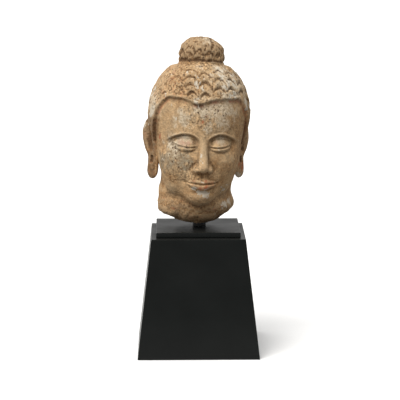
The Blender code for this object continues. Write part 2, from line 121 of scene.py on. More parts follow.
def laid_over(tree, share, first, second, mode="MIX"):
    """The second colour laid over the first one, as thickly as share says."""
    mix = add_node(tree, "ShaderNodeMix", data_type="RGBA", blend_type=mode)
    for place, value in ((0, share), (6, first), (7, second)):
        if isinstance(value, bpy.types.NodeSocket):
            tree.links.new(value, mix.inputs[place])
        elif isinstance(value, tuple):
            mix.inputs[place].default_value = (*value, 1.0)
        else:
            mix.inputs[place].default_value = value
    return mix.outputs[2]


def combined(tree, operation, first, second):
    """Two numbers made into one by ADD, SUBTRACT, MULTIPLY or MAXIMUM."""
    node = add_node(tree, "ShaderNodeMath", {0: first, 1: second}, operation=operation)
    return node.outputs[0]


room = bpy.data.worlds.new("room")
scene.world = room
room.use_nodes = True
tree = room.node_tree
around = add_node(tree, "ShaderNodeTexCoord").outputs["Generated"]
toward = add_node(tree, "ShaderNodeSeparateXYZ", {0: around})
behind = between(tree, toward.outputs["Y"], -0.75, 0.35, ROOM_BEFORE, ROOM_BEHIND)
above = between(tree, toward.outputs["Z"], 0.25, 0.95, 0.0, ROOM_ABOVE)
left = between(tree, toward.outputs["X"], -0.9, 0.9, ROOM_LEFT, ROOM_RIGHT)
upper = combined(tree, "MULTIPLY", combined(tree, "MAXIMUM", behind, above), left)
over = between(tree, toward.outputs["Z"], -0.02, 0.0)
above_floor = combined(tree, "MULTIPLY", upper, over)
below_floor = between(tree, over, 0.0, 1.0, ROOM_BELOW, 0.0)
level = combined(tree, "ADD", above_floor, below_floor)
tree.links.new(level, tree.nodes["Background"].inputs["Strength"])
tree.nodes["Background"].inputs["Color"].default_value = ROOM_COLOUR


def new_material(name):
    """A procedural material: its node tree, its Principled shader and its Object coordinates."""
    material = bpy.data.materials.new(name)
    material.use_nodes = True
    nodes = material.node_tree
    place = add_node(nodes, "ShaderNodeTexCoord").outputs["Object"]
    return material, nodes, nodes.nodes["Principled BSDF"], place


def noise(tree, place, size, detail=2.0, rough=0.5, **settings):
    """Cloudy noise between 0 and 1, whose clouds are about size metres across."""
    inputs = {"Vector": place, "Scale": 1.0 / size, "Detail": detail, "Roughness": rough}
    return add_node(tree, "ShaderNodeTexNoise", inputs, **settings).outputs["Fac"]


def bumps(tree, height, depth, under=None):
    """The surface's normal, tilted by a height between 0 and 1 that stands for depth metres."""
    inputs = {"Height": height, "Distance": depth, "Strength": 1.0}
    if under:
        inputs["Normal"] = under
    return add_node(tree, "ShaderNodeBump", inputs).outputs["Normal"]


# Floor. A plain pale sheet of card that runs far past the camera's view on every side. It is a
# single flat sheet with a faint tooth, and isn't part of the object.
FLOOR_REACH = 30.0
CARD_DARK = (0.86, 0.86, 0.855)
CARD_LIGHT = (0.90, 0.90, 0.895)

card, tree, shader, place = new_material("white_card")
tooth = noise(tree, place, 0.004, 3.0)
shade = colour_ramp(tree, tooth, ((0.0, CARD_DARK), (1.0, CARD_LIGHT)))
tree.links.new(shade, shader.inputs["Base Color"])
shader.inputs["Roughness"].default_value = 0.9
shader.inputs["Specular IOR Level"].default_value = 0.1
shader.inputs["Emission Color"].default_value = (1.0, 1.0, 1.0, 1.0)
shader.inputs["Emission Strength"].default_value = 0.03

sheet = bpy.data.meshes.new("floor")
corners = [(x * FLOOR_REACH, y * FLOOR_REACH, 0.0) for x, y in ((-1, -1), (1, -1), (1, 1), (-1, 1))]
sheet.from_pydata(corners, [], [(0, 1, 2, 3)])
sheet.materials.append(card)
floor = bpy.data.objects.new("floor", sheet)
scene.collection.objects.link(floor)
floor.visible_diffuse = False

# Plinth. A tapered block with a thin square board on top, both of them fine fibreboard, sprayed with
# satin black paint. The solids are right as they are, so they only get their paint.
# The board's top is the height above the floor at which the rod starts.
BOARD_TOP = 0.139
PAINT_DARK = (0.0040, 0.0049, 0.0045)
PAINT_LIGHT = (0.0060, 0.0070, 0.0065)
PAINT_AT_FOOT = (0.024, 0.0245, 0.024)
SHEEN_AND_DUST_ON_TOP = (0.022, 0.0215, 0.020)
DUST = (0.10, 0.098, 0.092)

paint, tree, shader, place = new_material("satin_black_paint")
haze = noise(tree, place, 0.045, 3.0, 0.55)
black = colour_ramp(tree, haze, ((0.30, PAINT_DARK), (0.70, PAINT_LIGHT)))
height = add_node(tree, "ShaderNodeSeparateXYZ", {0: place}).outputs["Z"]
foot = between(tree, height, 0.0, 0.05, 1.0, 0.0)
black = laid_over(tree, combined(tree, "MULTIPLY", foot, 0.26), black, PAINT_AT_FOOT)
facing = add_node(tree, "ShaderNodeNewGeometry").outputs["Normal"]
upward = add_node(tree, "ShaderNodeSeparateXYZ", {0: facing})
# Upward faces are painted lighter: a little dust, and painted sheen for the bright room that they
# reflect.
flat = between(tree, upward.outputs["Z"], 0.7, 0.95, 0.0, 0.45)
black = laid_over(tree, flat, black, SHEEN_AND_DUST_ON_TOP)
specks = between(tree, noise(tree, place, 0.0011, 2.0), 0.72, 0.80, 0.0, 0.5)
dust = combined(tree, "MULTIPLY", specks, between(tree, haze, 0.45, 0.7))
black = laid_over(tree, dust, black, DUST)
tree.links.new(black, shader.inputs["Base Color"])
satin = between(tree, haze, 0.3, 0.7, 0.30, 0.42)
tree.links.new(satin, shader.inputs["Roughness"])
shader.inputs["Specular IOR Level"].default_value = 0.10
orange_peel = bumps(tree, noise(tree, place, 0.0016, 2.0), 0.000012)
waves = bumps(tree, noise(tree, place, 0.030, 1.0), 0.00010, orange_peel)
tree.links.new(waves, shader.inputs["Normal"])

for name in ("plinth_block", "plinth_board"):
    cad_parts[name].material_slots[0].material = paint

# Rod. Round mild steel, blackened, that stands on the board and goes up into the neck's socket.
# Only a few millimetres of it show under the break.
ROD_DIAMETER = 0.015
ROD_SIDE_STEP = 0.0018
BOARD_SETBACK = 0.003
ROD_SHOWN = 0.006
ROD_END = 0.190
STEEL_DARK = (0.012, 0.012, 0.013)
STEEL_LIGHT = (0.030, 0.028, 0.027)

steel, tree, shader, place = new_material("blackened_steel")
haze = noise(tree, place, 0.006, 3.0)
black = colour_ramp(tree, haze, ((0.3, STEEL_DARK), (0.75, STEEL_LIGHT)))
tree.links.new(black, shader.inputs["Base Color"])
tree.links.new(between(tree, haze, 0.3, 0.7, 0.32, 0.5), shader.inputs["Roughness"])
shader.inputs["Metallic"].default_value = 0.6
turned = add_node(tree, "ShaderNodeMapping", {"Vector": place, "Scale": (0.15, 0.15, 1.0)})
tool_marks = bumps(tree, noise(tree, turned.outputs[0], 0.0005, 2.0), 0.00001)
tree.links.new(tool_marks, shader.inputs["Normal"])
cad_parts["mount_rod"].material_slots[0].material = steel

# Head. A head built up by hand in lime stucco, carved and pressed while it was soft, painted, and
# later broken off at the neck. The rod goes up into it, and nothing else holds it.
# HEAD_HEIGHT is measured from the break to the top of the knot.
HEAD_HEIGHT = 0.208
HEAD_TURN = math.radians(6.0)
HEAD_LEAN = math.radians(2.6)
NECK_SIDE_STEP = -0.0040

# The lengths from here to RIGHT_LOBE_STEP are shares of HEAD_HEIGHT.
# In the head's own frame, x is across the face, y is backwards and z is up from the broken neck.
DOME_CENTRE = (0.0, 0.012, 0.592)
DOME_RADII = (0.258, 0.262, 0.278)
FACE_CENTRE = (0.0, -0.052, 0.405)
FACE_RADII = (0.222, 0.196, 0.288)
BROW_HEIGHT = 0.490
EYE_HEIGHT = 0.448
NOSE_BASE = 0.303
MOUTH_HEIGHT = 0.242
EYE_WIDTH = 0.094
MOUTH_WIDTH = 0.170
NECK_CENTRE = (0.004, 0.018)
NECK_RADII = (0.193, 0.180)
KNOT_CENTRE = (0.002, 0.012, 0.8855)
KNOT_RADII = (0.125, 0.123, 0.118)
KNOT_SQUARENESS = 2.45
SHOULDER_CENTRE = (0.0, 0.012, 0.681)
SHOULDER_RADII = (0.217, 0.222, 0.190)
CROWN_HEIGHT = 0.858
CROWN_SLOPE = 0.12
HAIR_THICKNESS = 0.013
LOCK_COLUMNS = 22
LOCK_POLE = math.radians(30)
LOCK_PITCH = math.radians(10.9)
LOCK_DEPTH = 0.0130
HAIR_BAND = 0.024
ARCH_HEIGHT = 0.683
DIP_DEPTH = 0.024
DIP_SIDE = -8.0
NAPE_HEIGHT = 0.285
KNOT_COLUMNS = 13
KNOT_PITCH = 0.044
EAR_TOP = 0.562
EAR_BOTTOM = 0.243
LEFT_LOBE_DROP = 0.016
RIGHT_LOBE_STEP = 0.008

# The grids that the head and the ears are worked out on. The head's rows are shared out between the
# knot, the hair and the rest, so that one of them runs along the hair's edge.
HEAD_COLUMNS = 300
HEAD_ROWS = 268
KNOT_SHARE = 0.12
HAIR_SHARE = 0.17
HAIRLINE_ROW = 0.38
ROWS_SKIPPED = 4
EAR_AROUND = 64
EAR_ALONG = 104
ROD_SIDES = 48
SOCKET_CLEARANCE = 0.0005
GAP = 0.0003


def soft_join(a, b, reach):
    """The union of two distance fields, with a fillet whose size goes with reach."""
    share = np.clip(0.5 + 0.5 * (b - a) / reach, 0.0, 1.0)
    return b * (1 - share) + a * share - reach * share * (1 - share)


def soft_keep(a, b, reach):
    """The common part of two distance fields, with a rounded edge."""
    return -soft_join(-a, -b, reach)


def egg(p, centre, radii):
    """Distance from an ellipsoid, nearly true close to its surface."""
    q = (p - np.array(centre)) / np.array(radii)
    near = np.sqrt((q * q).sum(-1)) + 1e-9
    steep = np.sqrt(((q / np.array(radii)) ** 2).sum(-1)) + 1e-9
    return near * (near - 1) / steep


def dome(p, centre, radii, squareness):
    """Distance, along the line from its centre, from an egg whose top is flatter than a true one's."""
    q = (p - np.array(centre)) / np.array(radii)
    around = np.hypot(q[..., 0], q[..., 1])
    near = (around**squareness + np.abs(q[..., 2]) ** squareness) ** (1 / squareness) + 1e-9
    away = np.sqrt(((p - np.array(centre)) ** 2).sum(-1))
    return away * (1 - 1 / near)


def finger(p, start, end, start_radius, end_radius):
    """Distance from a tapered rod with round ends."""
    a, b = np.array(start), np.array(end)
    along = np.clip(((p - a) @ (b - a)) / ((b - a) @ (b - a)), 0, 1)
    nearest = a + along[..., None] * (b - a)
    radius = start_radius + (end_radius - start_radius) * along
    return np.sqrt(((p - nearest) ** 2).sum(-1)) - radius


def both_sides(p):
    """Points folded onto the half x > 0, for what the head has on its left and on its right."""
    return np.concatenate([np.abs(p[..., :1]), p[..., 1:]], axis=-1)


def step_up(x, low, high):
    """0 below low, 1 above high and a smooth rise between."""
    t = np.clip((x - low) / (high - low), 0, 1)
    return t * t * (3 - 2 * t)


def bell(x, width):
    """A bump of height 1 at 0 that has faded to a third at width."""
    return np.exp(-((x / width) ** 2))


def through(x, places, values):
    """A smooth curve through the given points, where each point's slope comes from its neighbours."""
    places, values = np.array(places, float), np.array(values, float)
    slopes = np.gradient(values, places)
    i = np.clip(np.searchsorted(places, x, side="right") - 1, 0, len(places) - 2)
    width = places[i + 1] - places[i]
    t = np.clip((x - places[i]) / width, 0, 1)
    levels = values[i] * (1 + 2 * t) * (1 - t) ** 2 + values[i + 1] * t**2 * (3 - 2 * t)
    return levels + width * (slopes[i] * t * (1 - t) ** 2 - slopes[i + 1] * t**2 * (1 - t))


def neck_field(p):
    """Distance from the neck: an oval column, flared low down, with a rounded broken underside."""
    x = (p[..., 0] - NECK_CENTRE[0]) / NECK_RADII[0]
    y = (p[..., 1] - NECK_CENTRE[1]) / NECK_RADII[1]
    z = p[..., 2]
    around = np.hypot(x, y)
    flare = 1 + (0.060 + 0.035 * step_up(x, 0.0, 1.0)) * bell(z - 0.100, 0.05)
    column = (around - flare) * NECK_RADII[1]
    corner = 4.2 - 1.4 * step_up(x, 0.2, 0.8)
    broken_edge = 0.085 * (around / 1.08) ** corner
    column = soft_keep(column, (broken_edge - z) * 0.75, 0.022)
    return soft_keep(column, z - 0.5, 0.02)


def under_knot(p):
    """Depth of each point under the plane where the hair meets the knot, which rises to the front."""
    return CROWN_HEIGHT - CROWN_SLOPE * (p[..., 1] - KNOT_CENTRE[1]) - p[..., 2]


def head_field(p):
    """Distance from the plain masses of the head, without locks, lids and lips."""
    q = both_sides(p)
    field = soft_join(egg(p, DOME_CENTRE, DOME_RADII), egg(p, FACE_CENTRE, FACE_RADII), 0.045)
    cheek = egg(q, (0.098, -0.125, 0.345), (0.088, 0.096, 0.092))
    jaw = egg(q, (0.082, -0.085, 0.240), (0.088, 0.100, 0.085))
    chin = egg(p, (0.0, -0.180, 0.178), (0.075, 0.068, 0.062))
    muzzle = egg(p, (0.0, -0.195, 0.255), (0.082, 0.066, 0.070))
    for mass, reach in ((cheek, 0.05), (jaw, 0.05), (muzzle, 0.05), (chin, 0.05)):
        field = soft_join(field, mass, reach)
    field = soft_join(field, neck_field(p), 0.018)
    bridge = finger(p, (0.0, -0.231, 0.487), (0.0, -0.284, 0.332), 0.0165, 0.0265)
    wing = egg(q, (0.033, -0.263, 0.319), (0.0205, 0.027, 0.0180))
    nose = soft_join(bridge, wing, 0.012)
    field = soft_join(field, nose, 0.018)
    shoulder = soft_keep(egg(p, SHOULDER_CENTRE, SHOULDER_RADII), -under_knot(p), 0.008)
    field = soft_join(field, shoulder, 0.03)
    return soft_join(field, dome(p, KNOT_CENTRE, KNOT_RADII, KNOT_SQUARENESS), 0.014)


def ray_fan(columns, along):
    """Start points on the head's axis and directions: one fan that sweeps from the knot to the neck.

    along holds each row's share of the sweep, for every column. Rays tilt down over the face, so
    that they meet the undersides of nose and chin squarely, and round the knot's foot they follow
    the slope of the crown.
    """
    turn = np.linspace(-1, 1, columns, endpoint=False)
    angle = math.pi * (turn - 0.45 * np.sin(math.pi * turn) / math.pi)
    share = (0.0, 0.07, 0.095, 0.11, 0.17, 0.25, 0.34, 0.44, 0.62, 0.75, 0.83, 0.90, 1.0)
    start = (0.91, 0.91, 0.885, 0.800, 0.72, 0.62, 0.57, 0.535, 0.475, 0.40, 0.32, 0.21, 0.14)
    tilt = (90, 0, -8, 25, 44, 24, 8, -6, -27, -35, -38, -42, -90)
    height = np.interp(along, share, start)
    lift = np.radians(np.interp(along, share, tilt))
    origin = np.zeros((*along.shape, 3))
    origin[..., 1] = DOME_CENTRE[1]
    origin[..., 2] = height
    toward = np.empty_like(origin)
    toward[..., 0] = np.cos(lift) * np.sin(angle)
    toward[..., 1] = -np.cos(lift) * np.cos(angle)
    crown = np.interp(along, (0.0, 0.07, 0.17, 0.30), (0.0, 1.0, 1.0, 0.0)) * CROWN_SLOPE
    toward[..., 2] = np.sin(lift) - crown * toward[..., 1]
    return origin, toward


def first_hit(field, origin, toward):
    """Where each ray, followed inwards from outside, first meets the surface."""
    far, step = 0.50, 0.018
    reach = np.full(origin.shape[:2], far)
    open_rays = np.ones(reach.shape, bool)
    while open_rays.any() and reach[open_rays].min() > step:
        trial = reach - step
        inside = field(origin + toward * trial[..., None]) < 0
        reach = np.where(open_rays & ~inside, trial, reach)
        open_rays &= ~inside
    low, high = reach - step, reach
    for _ in range(12):
        middle = (low + high) / 2
        inside = field(origin + toward * middle[..., None]) < 0
        low, high = np.where(inside, middle, low), np.where(inside, high, middle)
    return origin + toward * ((low + high) / 2)[..., None]


def hairline(angle):
    """Height of the hair's edge at an angle in degrees from the face: two arches that meet in a dip,
    run down before the ears and end in a line on the nape. Angles grow towards +X."""
    dip = DIP_DEPTH * bell(angle - DIP_SIDE, 14)
    return ARCH_HEIGHT - dip - (ARCH_HEIGHT - NAPE_HEIGHT) * step_up(np.abs(angle), 44, 110)


def hair_edge(p):
    """Distance of each point from the hair's edge, measured over the skin: above 0 in the hair."""
    angle = np.degrees(np.arctan2(p[..., 0], -(p[..., 1] - DOME_CENTRE[1])))
    slope = (hairline(angle + 3) - hairline(angle - 3)) / (math.radians(6) * DOME_RADII[0])
    return (p[..., 2] - hairline(angle)) / np.sqrt(1 + slope**2)


def lock_relief(p):
    """Height of the carved locks: columns of scales, each cut off below by an arched gouge.

    The columns run together behind the knot, so that they stand nearly upright over the brow. A
    gouge is deepest right under the arch, in the middle of its column, and runs out downwards.
    """
    wander = np.stack([cloud(p, 0.075, 3), cloud(p, 0.075, 4), cloud(p, 0.060, 5)], axis=-1)
    x, y, z = np.moveaxis(p + 0.008 * wander - np.array(DOME_CENTRE), -1, 0)
    back, up = math.sin(LOCK_POLE), math.cos(LOCK_POLE)
    pole = y * back + z * up
    ahead = -y * up + z * back
    around = np.arctan2(x, ahead) / (2 * math.pi) * LOCK_COLUMNS + 0.5
    column = np.floor(around)
    across = (around - column) * 2 - 1
    stretch = 1 + 0.10 * np.sin(column * 2.3 + 1.0)
    climb = np.arctan2(pole, np.hypot(x, ahead)) / (LOCK_PITCH * stretch)
    phase = climb + 0.12 * (column % 2) + 0.14 * np.sin(column * 1.7) + 0.55 * across**2
    rise = phase - np.floor(phase)
    wall = 0.15 * np.sqrt(1 + 5 * across**2)
    gouge = step_up(rise, 0.46, 0.86) * (1 - step_up(rise, 1 - wall, 1.0))
    gouge = gouge * (1 - np.abs(across) ** 3)
    seam = bell(1 - np.abs(across), 0.10)
    worn = 1 - 0.62 * step_up(climb * stretch, 1.3, 3.0) - 0.25 * step_up(climb * stretch, 4.5, 6.5)
    rubbed = 1 - 0.70 * step_up(-x, 0.06, 0.13) * step_up(-y, -0.1, 0.05)
    rubbed = rubbed * (1 + 0.40 * cloud(p, 0.09, 6)) * (1 - 0.45 * step_up(-x, 0.05, 0.12))
    return (0.15 - gouge - 0.16 * seam) * worn * rubbed * LOCK_DEPTH


def knot_relief(p):
    """Height of the worn curls on the knot, and the crack that runs down its front."""
    x, y, z = (p[..., i] - KNOT_CENTRE[i] for i in range(3))
    around = np.arctan2(x, -y) / (2 * math.pi) * KNOT_COLUMNS
    across = (around - np.floor(around)) * 2 - 1
    climb = z / KNOT_PITCH + 0.45 * across**2 + 0.3 * np.sin(np.floor(around) * 2.1)
    rise = climb - np.floor(climb)
    curls = (1 - rise) * step_up(rise, 0.0, 0.22) * (1 - 0.6 * across**2)
    lumps = np.sin(x * 55 + 1.0 + 40 * z) * np.sin(y * 47) + np.sin(z * 75 + x * 22 - y * 15)
    fade = 1 - step_up(z, 0.058, 0.103)
    crack = bell(x - 0.046 - 0.005 * np.sin(z * 90), 0.0060) * (y < 0) * step_up(z, 0.01, 0.04)
    groove = bell(under_knot(p) + 0.004, 0.012)
    return 0.0075 * curls * fade + 0.0016 * lumps - 0.0025 - 0.006 * crack - 0.006 * groove


def break_relief(p):
    """Height of the lumps and hollows where the neck is broken off."""
    x, y, z = p[..., 0], p[..., 1], p[..., 2]
    lumps = np.sin(38 * x + 2 * np.sin(25 * y)) * np.sin(33 * y + 1.3)
    small = np.sin(71 * x + 1.0) * np.sin(64 * y + 80 * z)
    return (0.0035 * lumps + 0.0020 * small) * (1 - step_up(z, 0.06, 0.13))


def brow_line(x):
    """Height of the brow's crest: a long arch on each side, from the root of the nose outwards."""
    t = np.abs(x)
    inner_fall = 0.040 * np.clip((0.085 - t) / 0.075, 0, 1) ** 1.8
    outer_fall = 1.9 * np.clip(t - 0.10, 0, 1) ** 1.6
    return BROW_HEIGHT + 0.016 - inner_fall - outer_fall


def eye_relief(x, z):
    """How far the surface stands out at an eye: a lowered lid, its slit and the rim below it."""
    along = (np.abs(x) - EYE_WIDTH) / (EYE_WIDTH * 0.61)
    up = z - EYE_HEIGHT
    inside = np.clip(1 - along**2, 0, 1)
    bulge = np.sqrt(np.clip(1 - (along / 1.12) ** 2 - ((up - 0.004) / 0.043) ** 2, 0, 1))
    slit_height = -0.009 - 0.007 * inside + 0.004 * along
    ends = step_up(inside, 0.0, 0.25)
    slit = bell(up - slit_height, 0.0038) * ends
    lid_edge = bell(up - slit_height - 0.0065, 0.0045) * ends
    crease = bell(up - 0.007 - 0.024 * np.sqrt(inside), 0.0045) * step_up(inside, -0.05, 0.2)
    rim = bell(up - slit_height + 0.0085, 0.0045) * ends
    return 0.022 * bulge - 0.0100 * slit + 0.0038 * lid_edge - 0.0052 * crease + 0.0034 * rim


def socket_relief(x, z):
    """How far the surface falls back under the brow, and the soft crest of the brow itself."""
    t = np.abs(x)
    below = brow_line(x) - z
    window = step_up(t, 0.018, 0.050) * (1 - step_up(t, 0.15, 0.20))
    hollow = step_up(below, -0.002, 0.016) * bell(np.clip(below - 0.02, 0, 1), 0.060) * window
    crest = bell(below, 0.008) * step_up(t, 0.012, 0.035) * (1 - step_up(t, 0.14, 0.19))
    corner = bell(t - 0.040, 0.016) * bell(z - EYE_HEIGHT - 0.008, 0.030)
    return -0.027 * hollow + 0.0060 * crest - 0.011 * corner


def mouth_relief(x, z):
    """How far the surface stands out at the mouth: two closed lips with a bow, and their corners."""
    half = MOUTH_WIDTH / 2
    t = np.clip(np.abs(x) / half, 0, 1.4)
    inside = np.clip(1 - t**2, 0, 1)
    line = MOUTH_HEIGHT + 0.005 * t**2 - 0.003 * bell(x, 0.012)
    upper_rim = line + 0.026 * inside**0.75 - 0.006 * bell(x, 0.009)
    lower_rim = line - 0.034 * inside**0.62 * (0.8 + 0.2 * bell(x, 0.035))
    upper = np.clip((z - line) / (upper_rim - line + 1e-4), 0, 1.6)
    lower = np.clip((line - z) / (line - lower_rim + 1e-4), 0, 1.6)
    full = step_up(inside, 0.0, 0.5)
    upper_lip = np.where(z >= line, np.sqrt(np.clip(1 - (upper * 1.25 - 0.40) ** 2, 0, 1)), 0)
    lower_lip = np.where(z < line, np.sqrt(np.clip(1 - (lower * 1.45 - 0.50) ** 2, 0, 1)), 0)
    upper_lip = upper_lip * (1 - step_up(upper, 0.92, 1.12))
    lower_lip = lower_lip * (1 - step_up(lower, 0.95, 1.20))
    part = bell(z - line, 0.0040) * step_up(1.10 - t, 0.0, 0.12)
    corner = bell(np.abs(x) - half * 1.04, 0.016) * bell(z - line - 0.001, 0.015)
    over_lip = step_up(z, MOUTH_HEIGHT + 0.020, MOUTH_HEIGHT + 0.030)
    philtrum = bell(x, 0.007) * over_lip * (1 - step_up(z, NOSE_BASE - 0.010, NOSE_BASE + 0.004))
    dent = bell(z - MOUTH_HEIGHT + 0.050, 0.014) * bell(x, 0.055)
    return (
        0.0130 * upper_lip * full
        + 0.0165 * lower_lip * full
        - 0.0120 * part
        - 0.0090 * corner
        - 0.0035 * philtrum
        - 0.0080 * dent
    )


def nose_relief(x, z, y):
    """The crease round each wing of the nose, and the nostrils under it."""
    t = np.abs(x)
    ring = np.hypot((t - 0.034) / 0.026, (z - 0.316) / 0.023)
    crease = bell(ring - 1.10, 0.20) * step_up(t, 0.028, 0.050) * step_up(z, 0.290, 0.312)
    nostril = np.hypot((t - 0.020) / 0.012, (y + 0.272) / 0.014)
    opening = bell(nostril, 0.75) * bell(z - NOSE_BASE, 0.012)
    return crease, opening


def face_relief(p):
    """Shift of each point for the carving of the face, as an array of x, y, z."""
    x, y, z = p[..., 0], p[..., 1], p[..., 2]
    front = step_up(-y, 0.05, 0.15)
    forward = (eye_relief(x, z) + socket_relief(x, z) + mouth_relief(x, z)) * front
    crease, opening = nose_relief(x, z, y)
    forward = forward - 0.0045 * crease * front
    shift = np.zeros_like(p)
    shift[..., 1] = -forward
    shift[..., 2] = 0.012 * opening * front
    return shift


def carved(p):
    """The plain surface with its hair, knot and face carved."""
    outward = p - np.array(DOME_CENTRE)
    outward /= np.sqrt((outward**2).sum(-1))[..., None]
    edge = hair_edge(p)
    hair = step_up(edge, -0.001, 0.006)
    depth = under_knot(p)
    below_knot = step_up(depth, 0.0, 0.032)
    on_knot = step_up(-depth, 0.0, 0.012)
    over_band = edge / HAIR_BAND
    rim = np.sqrt(np.clip(1 - (np.minimum(over_band, 0.4) * 2.5 - 1) ** 2, 0, 1))
    rim = rim * (1 - 0.3 * step_up(over_band, 0.5, 1.1)) * 0.0065
    locks = lock_relief(p) * step_up(over_band, 0.7, 1.3)
    thickness = (HAIR_THICKNESS + locks + rim) * below_knot
    from_knot = p - np.array(KNOT_CENTRE)
    from_knot /= np.sqrt((from_knot**2).sum(-1))[..., None] + 1e-9
    moved = p + outward * (thickness * hair + break_relief(p))[..., None]
    moved = moved + from_knot * (knot_relief(p) * on_knot)[..., None]
    return moved + face_relief(p) * (1 - hair)[..., None]


def grid_shell(points):
    """Corners and faces of a closed shell from rows of points; the first and last row shrink to one."""
    rows, columns = points.shape[:2]
    first, last = points[0].mean(0), points[-1].mean(0)
    corners = np.concatenate([points[1:-1].reshape(-1, 3), [first, last]])
    inner = rows - 2
    index = np.arange(inner * columns).reshape(inner, columns)
    right = np.roll(index, -1, axis=1)
    quads = np.stack([index[:-1], index[1:], right[1:], right[:-1]], axis=-1).reshape(-1, 4)
    top = np.stack([index[0], right[0], np.full(columns, len(corners) - 2)], axis=-1)
    foot = np.stack([right[-1], index[-1], np.full(columns, len(corners) - 1)], axis=-1)
    return corners, quads.tolist() + top.tolist() + foot.tolist()


def head_shell(columns, rows):
    """The head without its ears, in shares of its height, with one row of its grid on the hair's edge."""
    even = np.linspace(0, 1, rows)[:, None] * np.ones(columns)
    edge = hair_edge(first_hit(head_field, *ray_fan(columns, even[::ROWS_SKIPPED])))
    on_skin = edge < 0
    on_skin[: int(len(edge) * HAIR_SHARE)] = False
    below = on_skin.argmax(axis=0)
    low, high = edge[below, np.arange(columns)], edge[below - 1, np.arange(columns)]
    share = (below - 1 + high / (high - low)) * ROWS_SKIPPED / (rows - 1)
    row = np.arange(rows)[:, None]
    knot_row, edge_row = rows * KNOT_SHARE, int(rows * HAIRLINE_ROW)
    along = KNOT_SHARE * np.clip(row / knot_row, 0, 1)
    along = along + (share - KNOT_SHARE) * np.clip((row - knot_row) / (edge_row - knot_row), 0, 1)
    along = along + (1 - share) * np.clip((row - edge_row) / (rows - 1 - edge_row), 0, 1)
    return grid_shell(carved(first_hit(head_field, *ray_fan(columns, along))))


def ear_shell(side, around, along):
    """One ear: a leaf with a rolled rim above and a long slotted lobe that hangs free below.

    The leaf is an oval section carried down the ear. Its front edge is sunk in the head, and its
    back edge stands away from it. side is -1 or 1.
    """
    s = np.linspace(0, 1, along)[:, None]
    t = np.linspace(0, 2 * math.pi, around, endpoint=False)[None, :]
    ends = np.sqrt(np.clip(1 - np.abs(2 * s - 1) ** 7, 0, 1))
    places = (0.0, 0.12, 0.32, 0.50, 0.62, 0.78, 0.92, 1.0)
    half = through(s, places, (0.048, 0.065, 0.070, 0.054, 0.038, 0.032, 0.033, 0.030)) * ends
    thick = through(s, places, (0.022, 0.025, 0.027, 0.025, 0.021, 0.019, 0.019, 0.016)) * ends
    middle_x = through(s, places, (0.236, 0.242, 0.244, 0.238, 0.234, 0.237, 0.240, 0.240))
    middle_y = through(s, places, (0.052, 0.056, 0.048, 0.028, 0.013, 0.002, -0.003, -0.004))
    fan = np.radians(through(s, places, (16, 19, 24, 33, 43, 50, 52, 52)))
    a = np.sign(np.cos(t)) * np.abs(np.cos(t)) ** 0.75
    b = np.sign(np.sin(t)) * np.abs(np.sin(t)) ** 0.75
    outer = step_up(b, 0.0, 0.4)
    upper = step_up(s, 0.05, 0.14) * (1 - step_up(s, 0.46, 0.58))
    bowl = bell(a + 0.02, 0.30) * upper
    fold = bell(a - 0.45, 0.20) * step_up(s, 0.10, 0.18) * (1 - step_up(s, 0.36, 0.48))
    roll = bell(a - 0.86, 0.22) * (1 - step_up(s, 0.52, 0.68))
    root = bell(a + 0.80, 0.20) * step_up(s, 0.22, 0.30) * (1 - step_up(s, 0.42, 0.5))
    slot = bell(a, 0.22) * step_up(s, 0.61, 0.65) * (1 - step_up(s, 0.70, 0.76))
    relief = outer * (-0.036 * bowl + 0.005 * fold + 0.007 * roll + 0.008 * root - 0.018 * slot)
    middle_x = middle_x - RIGHT_LOBE_STEP * (side > 0) * step_up(s, 0.35, 0.60)
    across = a * half
    out = b * thick + relief
    x = middle_x + across * np.sin(fan) + out * np.cos(fan)
    y = middle_y + across * np.cos(fan) - out * np.sin(fan)
    bottom = EAR_BOTTOM - LEFT_LOBE_DROP * (side < 0)
    z = EAR_TOP + (bottom - EAR_TOP) * s + 0 * t
    points = np.stack([side * x, y, z], axis=-1)
    if side > 0:
        points = points[:, ::-1]
    return grid_shell(points)


def head_placement():
    """Carries shares of the head's height to metres in the object's frame."""
    place = Matrix.Translation((NECK_SIDE_STEP, 0.0, BOARD_TOP + ROD_SHOWN))
    turn = Matrix.Rotation(HEAD_TURN, 4, "Z")
    lean = Matrix.Rotation(HEAD_LEAN, 4, "Y")
    return place @ lean @ turn @ Matrix.Scale(HEAD_HEIGHT, 4)


NET_KEYS = np.array([73856093, 19349663, 83492791])
NET_DRAWS = 4096


def drawn(table, cell):
    """The row of a table of random draws that belongs to each cell of a cubic net. The cell's three
    numbers, each times a large key, are scrambled into the row's number."""
    key = cell * NET_KEYS
    return table[(key[..., 0] ^ key[..., 1] ^ key[..., 2]) % NET_DRAWS]


def cloud(p, size, seed):
    """Smooth noise from -1 to 1: random numbers at the corners of a cubic net of this size, and
    between them a blend of the eight corners round the point."""
    table = np.random.default_rng(seed).uniform(-1, 1, NET_DRAWS)
    net = p / size
    cell = np.floor(net).astype(np.int64)
    t = net - cell
    t = t**3 * (t * (t * 6 - 15) + 10)
    total = np.zeros(p.shape[:-1])
    for corner in range(8):
        step = np.array([corner & 1, corner >> 1 & 1, corner >> 2])
        total += drawn(table, cell + step) * np.where(step, t, 1 - t).prod(-1)
    return total


def clouds(p, size, seed, layers=3):
    """Noise with finer noise on it: each layer has half the size and just over half the height of
    the one before, and its net is turned against it."""
    turn = np.array(Matrix.Rotation(0.9, 3, Vector((1.0, 0.7, 0.4))))
    total, weight = 0.0, 1.0
    for layer in range(layers):
        p = p @ turn
        total = total + weight * cloud(p, size / 2**layer, seed + layer)
        weight *= 0.58
    return total


